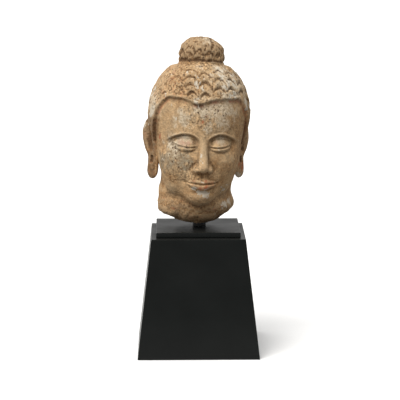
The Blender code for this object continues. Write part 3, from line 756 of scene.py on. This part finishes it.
def pits(p, size, seed, share):
    """Round hollows, one in each cell of a cubic net that has one: 1 in the middle, 0 from the rim.

    A cell's pit has its own place and radius, and share says how many of the cells have one.
    """
    table = np.random.default_rng(seed).uniform(0, 1, (NET_DRAWS, 5))
    net = p / size
    cell = np.floor(net).astype(np.int64)
    deepest = np.zeros(p.shape[:-1])
    for i in range(27):
        near = cell + np.array([i % 3, i // 3 % 3, i // 9]) - 1
        draw = drawn(table, near)
        away = np.sqrt(((net - near - draw[..., :3]) ** 2).sum(-1))
        radius = 0.18 + 0.32 * draw[..., 3]
        depth = np.clip(1 - (away / radius) ** 2, 0, 1) ** 1.5 * (draw[..., 4] < share)
        deepest = np.maximum(deepest, depth)
    return deepest


def near_places(p, places):
    """How close each point is to the nearest of these (x, y, z, reach): 1 there, 0 a reach away."""
    closest = np.full(p.shape[:-1], -1.0)
    for x, y, z, reach in places:
        away = np.sqrt(((p - np.array((x, y, z))) ** 2).sum(-1))
        closest = np.maximum(closest, 1 - away / reach)
    return closest


def averaged(values, edges, rounds):
    """Each corner's value, replaced again and again by the mean of its neighbours' values."""
    ends, others = edges.ravel(), edges[:, ::-1].ravel()
    count = np.bincount(ends, minlength=len(values)) + 1e-9
    for _ in range(rounds):
        sums = [np.bincount(ends, values[others, k], len(values)) for k in range(values.shape[1])]
        values = np.stack(sums, axis=-1) / count[:, None]
    return values


def mesh_arrays(mesh):
    """A mesh's corner places, corner normals and edges as arrays."""
    corners = np.empty(len(mesh.vertices) * 3)
    mesh.vertices.foreach_get("co", corners)
    normals = np.empty(len(mesh.vertices) * 3)
    mesh.vertex_normals.foreach_get("vector", normals)
    edges = np.empty(len(mesh.edges) * 2, dtype=np.int32)
    mesh.edges.foreach_get("vertices", edges)
    return corners.reshape(-1, 3), normals.reshape(-1, 3), edges.reshape(-1, 2)


def new_piece(name, corners, faces):
    """A mesh object with these corners and faces."""
    mesh = bpy.data.meshes.new(name)
    mesh.from_pydata(corners, [], faces)
    mesh.validate()
    piece = bpy.data.objects.new(name, mesh)
    scene.collection.objects.link(piece)
    return piece


def rod_socket():
    """A closed cylinder a little wider than the rod, from under the neck to above the rod's end."""
    turn = np.linspace(0, 2 * math.pi, ROD_SIDES, endpoint=False)
    radius = ROD_DIAMETER / 2 + SOCKET_CLEARANCE
    x, y = ROD_SIDE_STEP + radius * np.cos(turn), BOARD_SETBACK + radius * np.sin(turn)
    foot, end = np.full(ROD_SIDES, BOARD_TOP + GAP), np.full(ROD_SIDES, ROD_END + GAP)
    corners = np.concatenate([np.stack([x, y, foot], -1), np.stack([x, y, end], -1)])
    low = np.arange(ROD_SIDES)
    after = np.roll(low, -1)
    walls = np.stack([low, after, after + ROD_SIDES, low + ROD_SIDES], -1)
    faces = walls.tolist() + [low[::-1].tolist(), (low + ROD_SIDES).tolist()]
    return new_piece("socket", corners, faces)


def joined_head():
    """The head's shell with both ears joined on and the rod's socket cut out, as one mesh."""
    placement = head_placement()
    head = new_piece("stucco_head", *head_shell(HEAD_COLUMNS, HEAD_ROWS))
    head.data.transform(placement)
    tools = []
    for side in (-1, 1):
        ear = new_piece("ear", *ear_shell(side, EAR_AROUND, EAR_ALONG))
        ear.data.transform(placement)
        tools.append((ear, "UNION"))
    tools.append((rod_socket(), "DIFFERENCE"))
    for tool, operation in tools:
        join = head.modifiers.new(tool.name, "BOOLEAN")
        join.operation = operation
        join.object = tool
    bpy.context.view_layer.update()
    joined = head.evaluated_get(bpy.context.evaluated_depsgraph_get())
    whole = bpy.data.meshes.new_from_object(joined)
    head.modifiers.clear()
    head.data = whole
    for tool, _ in tools:
        bpy.data.objects.remove(tool)
    return head


def to_shares(corners):
    """Corners in metres carried back to shares of the head's height, in the head's own frame."""
    back = np.array(head_placement().inverted())
    return corners @ back[:3, :3].T + back[:3, 3]


def skin_masks(p):
    """How far each corner belongs to the hair, the knot, the break and the carved face, 0 to 1."""
    edge = hair_edge(p)
    knot = step_up(-under_knot(p), -0.004, 0.012)
    ear = step_up(np.abs(p[..., 0]), 0.222, 0.236) * step_up(EAR_TOP + 0.01 - p[..., 2], 0.0, 0.01)
    hair = np.maximum(step_up(edge, -0.002, 0.004) * (1 - ear), knot)
    broken = 1 - step_up(p[..., 2] + 0.012 * clouds(p, 0.05, 61), 0.045, 0.085)
    return hair, knot, broken, ear


# Wear, stain and painted shade of the neck's own start below this height, in shares of the head's.
UNDER_CHIN = 0.155

# The grain of drawn-out marks: a smaller number draws them out further along x, y or z.
UPRIGHT_GRAIN = np.array((1.0, 1.0, 0.45))
LEVEL_GRAIN = np.array((0.35, 0.35, 1.2))
BROKEN_GRAIN = np.array((0.45, 0.45, 1.0))


def losses(p):
    """Height in millimetres of what has worn off or stands out at the knot's shoulders and at the
    neck's sides and lower corners: one smooth bump or hollow for each."""
    x, z = p[..., 0], p[..., 2]
    knot_shoulders = 1.7 * step_up(-x, 0.03, 0.09) - 1.4 * step_up(x, 0.02, 0.09)
    left_side = 1.9 * bell(z - 0.058, 0.030) + 1.8 * bell(z - 0.172, 0.03)
    left_corner = -3.4 * bell(z - 0.010, 0.020)
    right_side = -1.2 * (bell(z - 0.175, 0.03) + bell(z - 0.045, 0.03))
    return (
        knot_shoulders * step_up(z, 0.93, 0.98)
        + left_side * step_up(-x, 0.10, 0.18)
        + left_corner * step_up(-x, 0.07, 0.14)
        + right_side * step_up(x, 0.08, 0.14)
    )


def wear_relief(p):
    """Height in millimetres of hand modelling, tooth, pits and flakes, by where they are."""
    mm = p * HEAD_HEIGHT * 1000
    hair, knot, broken, ear = skin_masks(p)
    skin = (1 - hair) * (1 - broken)
    neck = 1 - step_up(p[..., 2], 0.11, 0.17)
    modelling = 0.22 * clouds(mm, 17.0, 1) + 0.10 * clouds(mm, 5.0, 5)
    rough_hair = 0.30 * clouds(mm, 6.0, 11, 3) + 0.36 * cloud(mm, 1.9, 15)
    rough_knot = 0.55 * clouds(mm, 5.5, 21, 4) + 0.38 * cloud(mm, 1.9, 25) - 0.5
    streaks = clouds(mm * BROKEN_GRAIN, 4.0, 33, 3)
    rough_break = 0.50 * clouds(mm, 9.0, 31, 3) + 0.30 * streaks + 0.30 * cloud(mm, 1.9, 35)
    fibres = 0.35 * clouds(mm * LEVEL_GRAIN, 2.6, 37, 3)
    height = modelling * (1 - broken) + rough_hair * hair * (1 - knot) + rough_knot * knot
    height = height + rough_break * broken + losses(p) + fibres * neck
    pitted = 0.25 + 0.9 * step_up(clouds(mm, 30.0, 41, 2), 0.0, 0.6)
    height = height - 0.55 * pits(mm, 3.6, 43, 0.42) * pitted * (skin + 1.1 * hair)
    height = height - 0.30 * pits(mm, 1.9, 45, 0.35) * pitted
    height = height - 1.2 * pits(mm, 6.0, 47, 0.38) * (knot + 0.35 * broken)
    flakes = step_up(clouds(mm, 11.0, 51, 4), 0.50, 0.66)
    return height - 0.25 * flakes * (skin + 0.6 * hair)


# Places of wear and stain, and a few of painted light, each as x, y, z and how far it reaches, in
# shares of the head's height.
LIME_PLACES = (
    (-0.090, -0.160, 0.826, 0.020),
    (-0.060, -0.180, 0.797, 0.022),
    (-0.046, -0.196, 0.799, 0.026),
    (-0.045, -0.215, 0.764, 0.030),
    (0.073, -0.129, 0.845, 0.020),
    (0.089, -0.133, 0.833, 0.022),
    (0.083, -0.170, 0.810, 0.020),
    (0.108, -0.201, 0.755, 0.020),
    (0.130, -0.166, 0.779, 0.024),
    (0.159, -0.129, 0.792, 0.028),
    (0.185, -0.032, 0.815, 0.026),
    (0.165, -0.153, 0.763, 0.024),
    (0.151, -0.193, 0.719, 0.024),
    (-0.261, -0.012, 0.686, 0.042),
    (-0.255, -0.079, 0.640, 0.036),
    (-0.267, -0.057, 0.594, 0.036),
    (0.241, -0.111, 0.659, 0.034),
    (-0.281, 0.092, 0.515, 0.044),
    (0.220, -0.023, 0.262, 0.028),
    (-0.011, -0.293, 0.371, 0.018),
    (0.004, -0.272, 0.252, 0.014),
    (0.004, -0.258, 0.200, 0.022),
    (-0.038, -0.263, 0.222, 0.024),
    (-0.008, -0.247, 0.193, 0.020),
    (0.030, -0.244, 0.183, 0.024),
    (0.132, -0.162, 0.199, 0.032),
    (0.141, -0.129, 0.108, 0.026),
    (0.165, -0.101, 0.130, 0.026),
    (-0.195, -0.150, 0.700, 0.014),
    (-0.020, -0.090, 0.985, 0.014),
    (0.115, -0.150, 0.055, 0.030),
)
PALE_PLACES = (
    (0.058, -0.241, 0.631, 0.100),
    (0.113, -0.218, 0.646, 0.100),
    (0.095, -0.228, 0.590, 0.075),
    (0.130, -0.150, 0.790, 0.110),
    (0.175, -0.120, 0.740, 0.090),
    (-0.260, -0.040, 0.640, 0.090),
    (-0.120, -0.220, 0.580, 0.060),
    (0.020, -0.260, 0.530, 0.030),
    (-0.095, -0.215, 0.470, 0.035),
    (0.095, -0.215, 0.470, 0.035),
    (-0.165, -0.190, 0.440, 0.065),
    # Painted light: this place lightens the forehead's shaded middle, and the next two the neck's shaded
    # lower left.
    (-0.010, -0.250, 0.625, 0.080),
    (-0.130, -0.165, 0.035, 0.045),
    (-0.060, -0.200, 0.020, 0.040),
    (-0.030, -0.130, 0.855, 0.030),
    (0.060, -0.120, 0.850, 0.040),
    (0.020, -0.050, 0.995, 0.048),
)
# Darker spots: one in the hairline's dip, the rest on the left ear.
DARK_SPOT_PLACES = (
    (-0.031, -0.241, 0.656, 0.027),
    (-0.255, 0.052, 0.439, 0.018),
    (-0.252, 0.045, 0.470, 0.018),
    (-0.245, 0.004, 0.333, 0.016),
)
GREY_PLACES = (
    (-0.160, -0.191, 0.400, 0.085),
    (-0.110, -0.234, 0.376, 0.070),
    (-0.201, -0.145, 0.349, 0.060),
)
RED_PLACES = (
    (-0.010, -0.250, 0.572, 0.020),
    (0.010, -0.255, 0.600, 0.016),
    (0.248, -0.002, 0.308, 0.045),
    (-0.222, -0.110, 0.470, 0.026),
)
SPECK_PLACES = (
    (-0.038, -0.247, 0.608, 0.080),
    (0.006, -0.250, 0.583, 0.075),
    (-0.150, -0.200, 0.370, 0.110),
    (-0.060, -0.260, 0.300, 0.070),
    (0.060, -0.240, 0.640, 0.070),
)


def traces(p, narrow, broad):
    """Where each layer of the old finish shows, as named arrays from 0 to 1.

    lime is bare white ground, pale a thin film of it, and red the last of the paint. pale also
    carries painted light on the forehead's shaded middle and the neck's shaded lower left. earth is
    darker brown: grime on the break and the neck, and in the hollows, low on the neck's left, under
    the chin and in the ears' bowls partly painted shade, while less of it at the hair's edge, on the
    break's left and on the right ear paints light. stain is the brown that the knot, the ears and the
    neck have taken on; there is less of it on the knot's and ears' shaded right, which paints light
    there, and more on the neck's right, which paints shade. warm is the orange-tan of the coat, grey
    the dull crust on the cheek, and specks are where the coat is full of small dark holes. narrow
    and broad say how far each corner lies below its near and its wider surroundings, in millimetres.
    """
    mm = p * HEAD_HEIGHT * 1000
    x, y, z = p[..., 0], p[..., 1], p[..., 2]
    hair, knot, broken, ear = skin_masks(p)
    edge = hair_edge(p)
    front = step_up(-y, 0.0, 0.1)
    left, right = step_up(-x, 0.0, 0.1), step_up(x, 0.0, 0.1)
    under_chin = step_up(UNDER_CHIN - z, -0.02, 0.05)
    ragged = clouds(mm, 5.0, 71, 4)
    wide = clouds(mm, 26.0, 81, 3)
    runs = clouds(mm * UPRIGHT_GRAIN, 3.4, 76, 4)
    across = clouds(mm * LEVEL_GRAIN, 3.0, 78, 4)
    torn = p + 0.013 * np.stack([clouds(mm, 4.0, seed, 2) for seed in (101, 104, 107)], axis=-1)

    # White ground: torn patches, and flakes strewn over all but the break. Grooves stay dark.
    torn_edge = 0.20 * ragged + 0.58 * runs + 0.28 * clouds(mm, 1.9, 79, 2)
    patches = step_up(near_places(torn, LIME_PLACES) + torn_edge, 0.12, 0.62)
    chance = clouds(mm, 6.0, 91, 4) + 0.30 * hair - 0.6 * knot - 0.10 * wide
    strewn = step_up(chance, 1.06, 1.30) * (1 - broken)
    lime = np.maximum(patches, 0.7 * strewn) * (1 - 0.65 * hair * step_up(narrow, 0.05, 0.22))
    lime = lime * (1 - 0.6 * under_chin * step_up(across, -0.3, 0.3))
    pale = step_up(near_places(p, PALE_PLACES) + 0.40 * ragged + 0.30 * runs, -0.10, 0.80)

    # Red: along the hair's edge, on the lips, the lids and the ears, and in the rubbed locks.
    at_edge = bell(edge + 0.005, 0.008) * front * (0.55 + 0.8 * ragged)
    lips = step_up(mouth_relief(x, z), 0.003, 0.009) * step_up(-y, 0.15, 0.2)
    lips = lips * step_up(0.29 - z, 0, 0.02) * (0.30 + 0.8 * ragged)
    lids = bell(z - EYE_HEIGHT - 0.010, 0.022) * bell(np.abs(x) - EYE_WIDTH, 0.05) * front
    rubbed = hair * step_up(-x, 0.05, 0.18) * (1 - knot) * step_up(runs - 0.4 * ragged, 0.1, 0.9)
    patches = step_up(near_places(p, RED_PLACES) + 0.4 * ragged, 0.2, 0.6)
    on_neck = 0.50 * under_chin * step_up(across - 0.4 * ragged, 0.45, 1.10)
    on_ears = 0.30 * ear * step_up(runs, 0.2, 0.8)
    lids = 0.6 * lids * step_up(ragged, 0.05, 0.5)
    red = np.maximum.reduce([at_edge, lips, lids, patches, 0.38 * rubbed, on_ears, on_neck])

    # Darker brown, partly dirt and partly painted shade: in the gouges and wider hollows, on the break
    # and the neck, and in the ears. Low on the neck's left, in the middle under the chin and in the
    # ears' bowls it is painted shade; less of it at the hair's edge, on the break's left and on the right
    # ear paints light where these lie in shade.
    groove = step_up(narrow, 0.04, 0.22) * (0.45 + 0.45 * hair) * (1 - 0.80 * bell(edge, 0.016))
    deep = np.maximum(groove, step_up(broad, 0.25, 1.10) * (0.10 + 0.55 * hair))
    on_break = broken * (0.20 + 0.35 * runs + 0.2 * ragged) * (1 - 0.9 * left)
    throat = 0.36 * under_chin * front * bell(x - 0.02, 0.11)
    left_band = 0.62 * front * bell(x + 0.10, 0.06) * bell(z - 0.100, 0.030)
    lines = 0.45 * under_chin * step_up(-across - 0.3 * runs, 0.10, 0.90)
    patches = step_up(near_places(torn, DARK_SPOT_PLACES), 0.05, 0.5)
    in_ears = ear * np.maximum(0.30 - 0.24 * right, 0.85 * step_up(broad, 0.10, 0.60))
    darkening = [deep * (1 - 0.6 * broken), on_break, throat, left_band, lines, patches, in_ears]
    dirt_and_painted_shade = np.maximum.reduce(darkening) + 0.20 * knot * step_up(narrow, 0.0, 0.12)

    # Stain, warmth, crust and specks. The knot and the ears take less stain on their right, which paints
    # light on their shaded side, and the neck more on its right, which paints shade there.
    stain_and_shading = np.maximum((0.95 - 0.28 * right) * knot, (1 - 0.45 * right) * ear)
    stain_and_shading = stain_and_shading + 0.36 * hair * (1 - knot)
    on_neck = (0.20 + 0.22 * step_up(x, 0.02, 0.12)) * under_chin + 0.14 * broken
    stain_and_shading = np.maximum(stain_and_shading, on_neck) + 0.25 * wide + 0.22 * ragged * (hair + ear)
    warm = wide + 0.25 * ragged + 0.8 * under_chin + 0.35 * hair + 0.5 * step_up(0.33 - z, 0.0, 0.1)
    grey = step_up(near_places(p, GREY_PLACES) + 0.5 * ragged, -0.1, 0.6)
    specks = step_up(near_places(p, SPECK_PLACES) + 0.3 * ragged, -0.3, 0.3)
    specks = np.maximum(specks, 0.85 * hair + 0.30 * step_up(wide, 0.0, 0.5))
    specks = np.maximum(specks, 0.6 * np.maximum(under_chin, ear))
    layers = {"lime": lime, "pale": pale, "red": red, "dirt_and_painted_shade": dirt_and_painted_shade, "stain_and_shading": stain_and_shading}
    layers |= {"warm": step_up(warm, -0.5, 0.7), "grey": grey, "specks": specks}
    return {name: np.clip(value, 0, 1) for name, value in layers.items()}


# Wear stops this far round the socket, and the hollows that are darkened, with dirt and painted
# shade, are found by so many rounds of averaging over a corner's neighbours.
UNWORN_MARGIN = 0.002
NARROW_ROUNDS = 5
BROAD_ROUNDS = 30

head = joined_head()
corners, normals, edges = mesh_arrays(head.data)
shares = to_shares(corners)
from_rod = np.hypot(corners[:, 0] - ROD_SIDE_STEP, corners[:, 1] - BOARD_SETBACK)
in_socket = (from_rod < ROD_DIAMETER / 2 + UNWORN_MARGIN) & (corners[:, 2] < ROD_END + UNWORN_MARGIN)
relief = wear_relief(shares) / 1000 * ~in_socket
corners = corners + normals * relief[:, None]
head.data.vertices.foreach_set("co", corners.ravel())
head.data.update()
corners, normals, edges = mesh_arrays(head.data)
narrow = ((averaged(corners, edges, NARROW_ROUNDS) - corners) * normals).sum(-1) * 1000
broad = ((averaged(corners, edges, BROAD_ROUNDS) - corners) * normals).sum(-1) * 1000
layers = traces(shares, narrow, broad)
layers["raised"] = np.clip(-narrow * 3.0 - broad * 0.3, 0, 1)
for name, value in layers.items():
    layer = head.data.attributes.new(name, "FLOAT", "POINT")
    layer.data.foreach_set("value", value)
head.data.shade_smooth()

stucco, tree, shader, place = new_material("painted_stucco")


def mask(name):
    """One of the head's layers, as it was worked out for every corner of the mesh."""
    return add_node(tree, "ShaderNodeAttribute", attribute_name=name).outputs["Fac"]


def mottled(share, colour, spread, low, high, darkest, lightest):
    """The colour times a number that goes from darkest to lightest as spread goes from low to high."""
    shade = between(tree, spread, low, high, darkest, lightest)
    shade = add_node(tree, "ShaderNodeCombineXYZ", {0: shade, 1: shade, 2: shade}).outputs[0]
    return laid_over(tree, share, colour, shade, "MULTIPLY")


# The coat's own three colours, and then what stains it, lies on it or shows through it. Some of the
# browns and the pale are also laid on as painted light and shade.
BUFF = (0.490, 0.320, 0.168)
TAN = (0.435, 0.245, 0.108)
BEIGE = (0.455, 0.315, 0.178)
STAIN_AND_SHADE_BROWN = (0.205, 0.113, 0.050)
BROWN = (0.085, 0.046, 0.022)
WORN = (0.520, 0.380, 0.230)
LIME = (0.590, 0.524, 0.420)
PALE = (0.650, 0.550, 0.405)
GREY = (0.245, 0.210, 0.148)
RED = (0.400, 0.130, 0.062)
SHADE_IN_HOLES = (0.090, 0.050, 0.028)
HOLE_SPACING = 0.0031
HOLE_DARKNESS = 0.80

fine = noise(tree, place, 0.0024, 4.0, 0.65)
medium = noise(tree, place, 0.009, 4.0, 0.6)
grit = noise(tree, place, 0.0009, 2.0, 0.6)
cells = {"Vector": place, "Scale": 1 / HOLE_SPACING}
spots = add_node(tree, "ShaderNodeTexVoronoi", cells)
fewer = add_node(tree, "ShaderNodeSeparateXYZ", {0: spots.outputs["Color"]}).outputs["X"]
radius = between(tree, fewer, 0.22, 1.0, 0.02, 0.42)
dots = between(tree, combined(tree, "SUBTRACT", radius, spots.outputs["Distance"]), 0.0, 0.10)
colour = laid_over(tree, mask("warm"), BEIGE, TAN)
colour = laid_over(tree, between(tree, medium, 0.35, 0.65), colour, BUFF)
dull = combined(tree, "MULTIPLY", mask("grey"), between(tree, fine, 0.30, 0.60))
colour = laid_over(tree, dull, colour, GREY)
# Brown stain with painted light and shade in it: lighter on the shaded right of knot and ears, darker on
# the neck's right.
stain_and_shading_share = combined(tree, "MULTIPLY", mask("stain_and_shading"), between(tree, medium, 0.25, 0.60, 0.68, 1.0))
colour = laid_over(tree, stain_and_shading_share, colour, STAIN_AND_SHADE_BROWN)
colour = mottled(1.0, colour, fine, 0.28, 0.72, 0.70, 1.24)
colour = mottled(1.0, colour, medium, 0.28, 0.72, 0.75, 1.20)
colour = mottled(1.0, colour, grit, 0.28, 0.72, 0.76, 1.20)
colour = mottled(mask("specks"), colour, fine, 0.36, 0.62, 0.54, 1.34)
worn_edges = between(tree, mask("raised"), 0.15, 0.80, 0.0, 0.42)
colour = laid_over(tree, worn_edges, colour, WORN)
# The pale layer laid on: a thin film of lime, and painted light on the forehead's middle and the neck's
# lower left.
pale_and_lit_share = combined(tree, "MULTIPLY", mask("pale"), between(tree, fine, 0.36, 0.60, 0.18, 0.90))
colour = laid_over(tree, pale_and_lit_share, colour, PALE)
flecks = combined(tree, "MULTIPLY", mask("red"), between(tree, fine, 0.35, 0.60, 0.15, 1.0))
colour = laid_over(tree, flecks, colour, RED)
# Darker brown laid on: dirt, and painted shade in the hollows, under the chin, low on the neck's left and
# in the ears' bowls.
darkening = combined(tree, "MULTIPLY", mask("dirt_and_painted_shade"), between(tree, fine, 0.25, 0.65, 1.0, 0.70))
colour = laid_over(tree, darkening, colour, BROWN)
# The small holes are painted dark: painted shade inside them.
holes = combined(tree, "MULTIPLY", dots, mask("specks"))
colour = laid_over(tree, combined(tree, "MULTIPLY", holes, HOLE_DARKNESS), colour, SHADE_IN_HOLES)
bare = combined(tree, "ADD", mask("lime"), combined(tree, "MULTIPLY", fine, 0.7))
white = between(tree, bare, 0.70, 1.06, 0.0, 0.82)
colour = laid_over(tree, white, colour, LIME)
tree.links.new(colour, shader.inputs["Base Color"])
tree.links.new(between(tree, fine, 0.3, 0.7, 0.82, 0.97), shader.inputs["Roughness"])
shader.inputs["Specular IOR Level"].default_value = 0.2
tooth = bumps(tree, grit, 0.00018)
pocks = combined(tree, "SUBTRACT", fine, combined(tree, "MULTIPLY", holes, 0.8))
tree.links.new(bumps(tree, pocks, 0.0009, tooth), shader.inputs["Normal"])

head.data.materials.clear()
head.data.materials.append(stucco)
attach(head, "root")
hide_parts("head")
